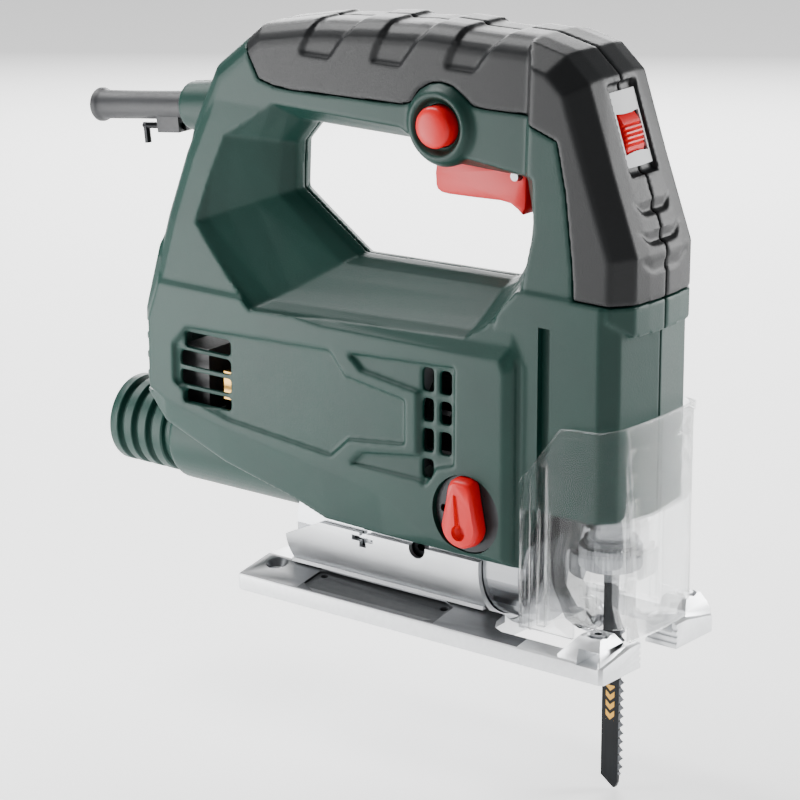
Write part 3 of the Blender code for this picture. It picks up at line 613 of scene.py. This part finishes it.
# The orbit lever is a red knob with a raised teardrop back, on a round shaft;
# behind it a dark zinc plate has the holes that a spring ball drops into.
knob = []
for i in range(25):
    a = math.pi + math.pi * i / 24
    knob.append((31 + 7.5 * math.cos(a), 40.9 + 7.5 * math.sin(a)))
knob += [(36.6, 50), (35.7, 55.2), (34.9, 56.7), (33.2, 57.5), (28.8, 57.5), (27.1, 56.7),
         (26.3, 55.2), (25.4, 50)]
lever = drawn("lever_knob", [[(31 + (x - 31) * k, y, 44 + (z - 44) * k) for x, z in knob]
                             for y, k in ((-25.6, 0.98), (-26.4, 1.0), (-29.6, 0.965),
                                          (-30.6, 0.91), (-31.0, 0.84))])
carve(lever, turned("dimple", "Y", 31, 39.2, [(-32, 2.9), (-29.4, 2.5), (-28.2, 1.4)], 32))
groove = [[(28.4, -32, 52.6), (30.6, -32, 52.6), (32.6, -32, 41), (29.2, -32, 41)],
          [(29.2, -30.2, 51.6), (30.0, -30.2, 51.6), (31.6, -29.6, 41), (30.2, -29.6, 41)]]
carve(lever, drawn("groove", groove))
add(lever, turned("lever_shaft", "Y", *lever_at, [(-26, 3.4), (-11, 3.4)]))
dress(smooth(lever), red)
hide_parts("orbit_lever")
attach(lever, "lever")

# The sole plate is an aluminium casting, ground along its edges, with a sunk
# dark panel on top, fence-rod ways through both prongs and a screw above each.
rear = -61.6
front = 90.0
half = 33.1


def broken(obj, width, segments, degrees):
    """Breaks every edge sharper than the angle with a small bevel."""
    m = obj.modifiers.new("edge", "BEVEL")
    m.width = width * MM
    m.segments = segments
    m.limit_method = "ANGLE"
    m.angle_limit = math.radians(degrees)
    only(obj)
    bpy.ops.object.modifier_apply(modifier=m.name)
    return obj


low = [(-half + 0.6, 0), (half - 0.6, 0), (half, 0.6), (half, 5.7), (half - 0.5, 6.2), (17, 9.0),
       (-17, 9.0), (-half + 0.5, 6.2), (-half, 5.7), (-half, 0.6)]
sole = drawn("sole_casting", [[(x, y * k, z * h) for y, z in low]
                              for x, k, h in ((rear, 0.985, 0.96), (rear + 0.8, 1, 1),
                                              (front - 1.2, 1, 1), (front, 0.97, 0.94))])
for side in (-1, 1):
    foot = [(72.5, side * 17), (front - 0.9, side * 17), (front - 0.9, side * (half - 0.6)),
            (72.5, side * (half - 0.6))]
    knee = [(75.5, side * 18.2), (88.2, side * 18.2), (88.2, side * 31.4), (75.5, side * 31.4)]
    crown = [(78.6, side * 21.2), (86.8, side * 21.2), (86.8, side * 29.2), (78.6, side * 29.2)]
    add(sole, drawn("boss", [[(x, y, z) for x, y in ring] for ring, z in
                             ((foot, 4.0), (foot, 7.4), (knee, 10.6), (crown, 14.2))]))
carve(sole, turned("seat_way", "X", 0, belly_z, [(-51.2, 23.3), (42, 23.3)], 96))
mouth = [(77, -10.5), (92, -10.5), (92, 10.5), (77, 10.5)]
opening = [(77.8, -26.9), (77.8, 26.9), (46, 26.9), (42.4, 25.4), (40.4, 22), (40, 17), (40, -17),
           (40.4, -22), (42.4, -25.4), (46, -26.9)]
carve(sole, plate("opening", "Z", opening, -1, 20), plate("mouth", "Z", mouth, -1, 20),
      block("fence_way", 80, 88.2, -40, 40, 5.4, 10.6))
for side in (-1, 1):
    carve(sole, turned("pocket", "Z", 83.4, side * 25.5, [(9, 3.0), (12.6, 3.0), (15, 4.2)]),
          turned("hole", "Z", -53.5, side * 22, [(-1, 2.3), (5.2, 2.3), (9.5, 4.6)]),
          turned("hole", "Z", 18.6, side * 21.6, [(4, 1.5), (12, 1.5)], 24),
          turned("hole", "Z", -33, side * 21.0, [(4, 1.3), (12, 1.3)], 24))
    for k in range(3):
        y = sorted((side * 10.0, side * 11.2))
        carve(sole, block("serration", 76, 92, y[0], y[1], 1.6 + 2.2 * k, 2.5 + 2.2 * k))
    slab = [(-34, 17.6), (16, 17.6), (21.5, 20.4), (21.5, 29.6), (17.5, 32.0), (-29.5, 32.0),
            (-36, 28.6), (-36, 19.4)]
    bed = [(x, side * y) for x, y in slab]
    tool = drawn("panel", [[(x, y, 6.0) for x, y in bed], [(x, y, 9.6) for x, y in bed]])
    keep = drawn("below", [[(x, y, z - 0.7) for y, z in low] for x in (-60, 60)])
    carve(tool, keep)
    carve(sole, tool)
for x in (-30, 20):
    carve(sole, turned("rivet_way", "Z", x, 0, [(-1, 2.8), (5, 2.8)], 32))
broken(sole, 0.32, 2, 38)
cast = Finish("cast_aluminium", "dcdee0", 0.34, 0.7)
coarse = cast.noise(420, 4.0)
brush = cast.noise(900, 2.0, 0.5, (0.12, 1.0, 1.0))
up = cast.along(2)
out = cast.node("ShaderNodeMath", {"operation": "ABSOLUTE"}, {0: cast.along(1)})
length = cast.along(0)
panel = ((length > -0.0362) * (length < 0.0217) * (out > 0.0174) * (out < 0.0322) *
         (up > 0.0048) * (up < 0.0083))
# The top faces above the flanges are painted dark grey: partly a darker top finish, partly a painted
# dark reflection.
flange = (length < 0.0565) * (out > 0.0166) * (up > 0.00605)
bare = cast.mix(coarse, "d6d8da", "eceef0")
painted_reflection_tops = cast.mix(flange, bare, cast.mix(coarse, "505254", "626467"))
cast.put("Base Color", cast.mix(panel * 0.85, painted_reflection_tops, "2c2e30"))
cast.put("Roughness", 0.26 + coarse * 0.14 + brush * 0.1 + panel * 0.12)
cast.relief(coarse * 0.5 + brush * 0.5, 0.1, 0.12)
dress(smooth(sole, 28), cast)
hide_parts("shoe_plate")
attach(sole, "sole")

# The cradle is a brushed steel trough riveted to the plate; the round belly of
# the gear housing rocks in it and is locked by a screw in the round notch.
saddle = turned("saddle", "X", 0, belly_z, [(-49, 23.0), (33.5, 23.0)], 128)
for side in (-1, 1):
    heel = [(side * 15.0, 9.3), (side * 18.9, 9.3), (side * 18.9, 10.6), (side * 15.0, 10.6)]
    add(saddle, plate("foot", "X", heel, -49, 32.5))
carve(saddle, turned("bore", "X", 0, belly_z, [(-60, 21.2), (50, 21.2)], 128),
      block("top", -60, 50, -30, 30, 27.4, 60))
corner = [(-60, 20.0), (-49.5, 20.0), (-47.0, 21.2), (-34.5, 27.0), (-33, 28), (-33, 40), (-60, 40)]
carve(saddle, plate("corner", "Y", corner, -40, 40))
for side in (-1, 1):
    y = sorted((side * 30, side * 15))
    carve(saddle, block("stem", -16.4, -13.6, y[0], y[1], 22.4, 60),
          block("bar", -19.6, -10.6, y[0], y[1], 24.4, 26.2),
          turned("notch", "Y", 8, 26.8, [(y[0], 3.4), (y[1], 3.4)], 40))
for x in (-30, 20):
    carve(saddle, turned("rivet_way", "Z", x, 0, [(-1, 2.8), (8, 2.8)], 32))
steel = Finish("brushed_steel", "c6c8ca", 0.36, 0.85)
lines = steel.noise(1100, 3.0, 0.55, (0.05, 1.0, 1.0))
patch = steel.noise(60, 3.0)
steel.put("Base Color", steel.mix(patch, "b9bbbd", "d0d2d4"))
steel.put("Roughness", 0.32 + lines * 0.2)
steel.relief(lines, 0.12, 0.06)
dress(smooth(saddle), steel)
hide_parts("tilt_cradle")
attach(saddle, "sole")

# The chip guard is injection-moulded clear polycarbonate, a U in plan with a
# rolled lip, ribs down its rear edges and three finger marks on its nose.
plan = [(52.5, 25.6), (81.4, 25.6), (83.2, 25.0), (88.4, 20.4), (89.4, 18.6), (90.4, 10), (90.9, 0)]
inner = [(89.4, 0), (88.9, 10), (88.0, 18.0), (87.2, 19.6), (82.7, 23.7), (81.0, 24.1), (52.5, 24.1)]
loop = plan + [(x, -y) for x, y in plan[-2::-1]] + [(x, -y) for x, y in inner[:0:-1]] + inner
shield = plate("chip_guard", "Z", loop, 10.2, 90)
slope = [(40, 46), (52.5, 60.5), (67.5, 80.4), (83, 81.6), (92, 83.6), (92, 100), (40, 100)]
for side in (-1, 1):
    y = sorted((side * 22.5, side * 25.2))
    add(shield, block("rail", 58.0, 61.0, y[0], y[1], 11.2, 66))
    y = sorted((side * 24.8, side * 26.3))
    add(shield, block("bead", 52.5, 54.6, y[0], y[1], 10.2, 62),
        block("bead", 56.4, 57.4, y[0], y[1], 10.2, 62))
lip = swollen(twin(shield, "lip"), (1.012, 1.022, 1), (52, 0, 0))
band = [(50, 52.6), (52.9, 58.0), (67.9, 77.9), (83, 79.2), (93, 81.2), (93, 100), (40, 100)]
work(lip, plate("band", "Y", band, -40, 40), "INTERSECT")
add(shield, lip)
carve(shield, plate("slope", "Y", slope, -40, 40))
for side in (-1, 1):
    y = sorted((side * 16.4, side * 40))
    carve(shield, block("notch", 73.2, 95, y[0], y[1], 0, 15.4))
    for k in range(3):
        z = 57.5 + 8.4 * k
        mark = [(90.6, side * 3.0, z), (89.6, side * 15.0, z + 0.0), (89.2, side * 17.4, z - 3.4)]
        for (x0, y0, z0), (x1, y1, z1) in zip(mark, mark[1:]):
            ring = [[(x - 0.9, y, h - 0.55), (x + 0.45, y, h - 0.35), (x + 0.45, y, h + 0.35),
                     (x - 0.9, y, h + 0.55)] for x, y, h in ((x0, y0, z0), (x1, y1, z1))]
            add(shield, drawn("mark", ring))
broken(shield, 0.25, 2, 40)
clear = Finish("clear_polycarbonate", "f3f6f6", 0.04, 0.0, Transmission_Weight=1.0, IOR=1.3)
scuff = clear.noise(260, 3.0)
rim_glow = clear.node("ShaderNodeLayerWeight", None, {"Blend": 0.35}, out="Facing")
clear.put("Roughness", 0.03 + scuff * 0.05)
clear.put("Alpha", 0.26 + rim_glow * 0.55)
dress(smooth(shield, 24), clear)
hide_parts("clear_guard")
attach(shield, "guard")

# The saw blade is a stamped T-shank blade, black oxide with ground teeth set
# left and right, and printed with a row of yellow chevrons.
z, teeth = 6.0, []
while z > -43.0:
    teeth += [(76.5, z), (75.9, z - 0.5), (75.05, z - 1.35), (75.1, z - 1.9), (75.9, z - 2.6)]
    z -= 3.0
spine = [(68.4, 25.0), (67.3, 27.0), (67.3, 40.0), (73.6, 40.0), (73.6, 13.0), (75.3, 8.0)]
nose = [(75.2, -44.6), (75.0, -47.6), (74.2, -49.4), (73.4, -49.6), (68.4, -46.0)]
blade = drawn("jig_blade", on_y([(y, spine + teeth + nose) for y in (-0.65, 0.65)]))
oxide = Finish("black_oxide_blade", "17181a", 0.38, 0.75)
streak = oxide.noise(900, 2.0, 0.5, (1.0, 1.0, 0.08))
across_x, down = oxide.along(0), oxide.along(2)
fold = oxide.node("ShaderNodeMath", {"operation": "ABSOLUTE"}, {0: across_x - 0.0717})
wave = oxide.node("ShaderNodeMath", {"operation": "FRACT"}, {0: (down - fold * 0.9) / 0.0034})
printed = ((wave > 0.42) * (down < -0.0135) * (down > -0.0258) * (fold < 0.0017))
ground = across_x > 0.0752
base = oxide.mix(ground, oxide.mix(streak, "131416", "212325"), "5c5e61")
oxide.put("Base Color", oxide.mix(printed, base, "e2a72a"))
oxide.put("Metallic", 0.75 - printed * 0.75)
oxide.put("Roughness", 0.3 + streak * 0.2 + printed * 0.1)
dress(smooth(blade, 20), oxide)
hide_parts("saw_blade")
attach(blade, "plunger")

# The clamp's collar is turned steel with a straight knurl and chamfered ends;
# a black spring ring sits above it on the clamp body.
knurl = [(70.5 + (10.6 if i % 2 else 10.15) * math.cos(math.pi * i / 45),
          (10.6 if i % 2 else 10.15) * math.sin(math.pi * i / 45)) for i in range(90)]
collar = drawn("knurled_collar", [[(70.5 + (x - 70.5) * k, y * k, z) for x, y in knurl]
                                  for z, k in ((28.0, 0.93), (28.7, 1), (35.6, 1), (36.3, 0.93))])
carve(collar, turned("bore", "Z", 70.5, 0, [(20, 7.3), (50, 7.3)], 64))
turned_steel = Finish("turned_steel", "9fa1a4", 0.3, 1.0)
rings = turned_steel.noise(1400, 2.0, 0.5, (1.0, 1.0, 1.0))
turned_steel.put("Roughness", 0.22 + rings * 0.2)
turned_steel.put("Base Color", turned_steel.mix(rings, "8f9194", "b0b2b5"))
dress(smooth(collar, 20), turned_steel)
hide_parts("clamp_collar")
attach(collar, "collar")

# The dust nozzle is the same green nylon, a tube with a grooved hose end that
# pushes into the duct under the motor.
steps = [(-136.0, 14.7), (-135.7, 15.3), (-135.1, 15.6)]
for k in range(3):
    x = -132.0 + k * 6.6
    steps += [(x - 0.3, 15.6), (x, 15.3), (x + 0.2, 14.2), (x + 0.7, 13.6), (x + 2.3, 13.6),
              (x + 2.8, 14.2), (x + 3.0, 15.3), (x + 3.3, 15.6)]
steps += [(-112.0, 15.6), (-111.4, 15.2), (-111.0, 14.0), (-72.6, 14.0), (-72.0, 13.4)]
nozzle = turned("hose_nozzle", "X", 0, duct_z, steps, 96)
carve(nozzle, turned("bore", "X", 0, duct_z, [(-150, 11.8), (-60, 11.8)], 96))
dress(smooth(nozzle), green)
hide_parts("dust_nozzle")
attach(nozzle, "nozzle")

# The cord sleeve is black rubber with a rolled end; a clip on its underside
# holds the hex key.
sleeve = turned("cord_boot", "X", 0, cord_at[1],
                [(-151.0, 5.0), (-150.8, 5.6), (-150.2, 6.0), (-149.2, 6.0), (-148.3, 5.6),
                 (-147.2, 5.05), (-130, 4.95), (-82.5, 5.1)], 48)
add(sleeve, block("clip", -122, -112, -3.4, 3.4, 150.3, 156.0))
carve(sleeve, turned("bore", "X", 0, cord_at[1], [(-170, 3.8), (-70, 3.8)], 32),
      turned("key_hole", "X", 0, 152.3, [(-140, 1.6), (-100, 1.6)], 24))
broken(sleeve, 0.4, 3, 50)
tilted(sleeve, *cord_at, cord_slope)
rubber = Finish("black_rubber", "202124", 0.5)
matt = rubber.noise(900)
rubber.put("Roughness", 0.42 + matt * 0.2)
rubber.relief(matt, 0.15, 0.06)
dress(smooth(sleeve), rubber)
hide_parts("cord_sleeve")
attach(sleeve, "tool")

# Every other solid keeps its own shape and gets the finish of the real one:
# polished casting, bright steel, blackened parts, dark zinc, dark nylon, brass and stacked laminations.
polished = Finish("polished_casting", "a2a4a7", 0.24, 1.0)
flow = polished.noise(70, 3.0)
polished.put("Roughness", 0.14 + flow * 0.14)
polished.relief(polished.noise(350, 3.0), 0.08, 0.1)
blacked = Finish("blackened_steel", "1b1c1e", 0.34, 0.8)
blacked.put("Roughness", 0.26 + blacked.noise(700) * 0.2)
zinc = Finish("dark_zinc_plate", "2a2c2e", 0.3, 0.6)
zinc.put("Roughness", 0.22 + zinc.noise(500) * 0.2)
dark = Finish("dark_nylon", "141517", 0.5)
dark.put("Roughness", 0.42 + dark.noise(900) * 0.2)
brass = Finish("machined_brass", "b08a4a", 0.3, 1.0)
brass.put("Roughness", 0.22 + brass.noise(800) * 0.2)
laminate = Finish("stacked_laminations", "6a6c6f", 0.4, 0.9)
laminate.put("Roughness", 0.3 + laminate.noise(1200, 1.0, 0.5, (1.0, 0.05, 0.05)) * 0.3)
for finish, names in (
        (polished, ("gear_housing", "lower_bush", "upper_bush")),
        (turned_steel, ("plunger_rod", "clamp_body", "gear_axle", "drive_gear", "armature_shaft",
                        "front_bearing", "rear_bearing", "guide_roller", "roller_pin", "fork_pin",
                        "trigger_pin", "dial_axle", "fence_screw_left", "fence_screw_right",
                        "cradle_rivet_front", "cradle_rivet_rear", "housing_screw_1",
                        "housing_screw_2", "housing_screw_3", "housing_screw_4",
                        "housing_screw_5")),
        (blacked, ("tilt_screw_left", "tilt_screw_right", "hex_key", "clamp_ring", "roller_fork")),
        (zinc, ("lever_plate",)),
        (dark, ("switch_module", "cooling_fan", "bearing_block", "carbon_brush_left",
                "carbon_brush_right")),
        (brass, ("commutator", "brush_holder_left", "brush_holder_right")),
        (laminate, ("field_core", "rotor_core"))):
    for name in names:
        dress(nodes[name], finish)

# A pale glowing floor, five soft studio lamps and a dim even sky; the camera looks
# at the right side and the front from a little above.
bpy.ops.object.select_all(action="DESELECT")
bpy.ops.mesh.primitive_plane_add(size=14, location=(0, 0, -0.0503))
floor = bpy.context.object
floor.name = "floor"
pale = Finish("pale_floor", "f4f4f4", 0.7, Emission_Color=(1, 1, 1, 1), Emission_Strength=0.7)
pale.put("Roughness", 0.62 + pale.noise(30) * 0.1)
dress(floor, pale)
for name, place, aim, size, power in (
        ("key", (-0.28, -0.26, 0.06), (-0.07, 0, 0.085), (0.18, 0.34), 2.0),
        ("front", (0.68, 0.80, 0.30), (0.05, 0, 0.12), (0.45, 0.6), 17),
        ("top", (-0.55, -0.05, 0.90), (0, 0, 0.1), (0.6, 0.6), 15),
        ("back", (-0.62, 0.85, 0.42), (0, 0, 0.1), (0.8, 0.6), 16),
        ("fill", (0.9, -0.9, 0.5), (0, 0, 0.08), (0.7, 0.7), 1.6)):
    bpy.ops.object.light_add(type="AREA", location=place)
    lamp = bpy.context.object
    lamp.name = name
    lamp.data.shape = "RECTANGLE"
    lamp.data.size, lamp.data.size_y = size
    lamp.data.energy = power
    lamp.rotation_euler = (Vector(aim) - Vector(place)).to_track_quat("-Z", "Y").to_euler()
sky = bpy.data.worlds.new("studio")
bpy.context.scene.world = sky
sky.use_nodes = True
sky.node_tree.nodes["Background"].inputs["Color"].default_value = (1, 1, 1, 1)
sky.node_tree.nodes["Background"].inputs["Strength"].default_value = 0.22
azimuth, height, reach = math.radians(37.61), math.radians(16.85), 1.2203
back = Vector((math.sin(azimuth) * math.cos(height), -math.cos(azimuth) * math.cos(height),
               math.sin(height)))
bpy.ops.object.camera_add(location=Vector((-0.0167, 0, 0.0686)) + back * reach)
camera = bpy.context.object
camera.data.lens = 162
camera.data.sensor_width = 36
camera.rotation_euler = (-back).to_track_quat("-Z", "Y").to_euler()
bpy.context.scene.camera = camera
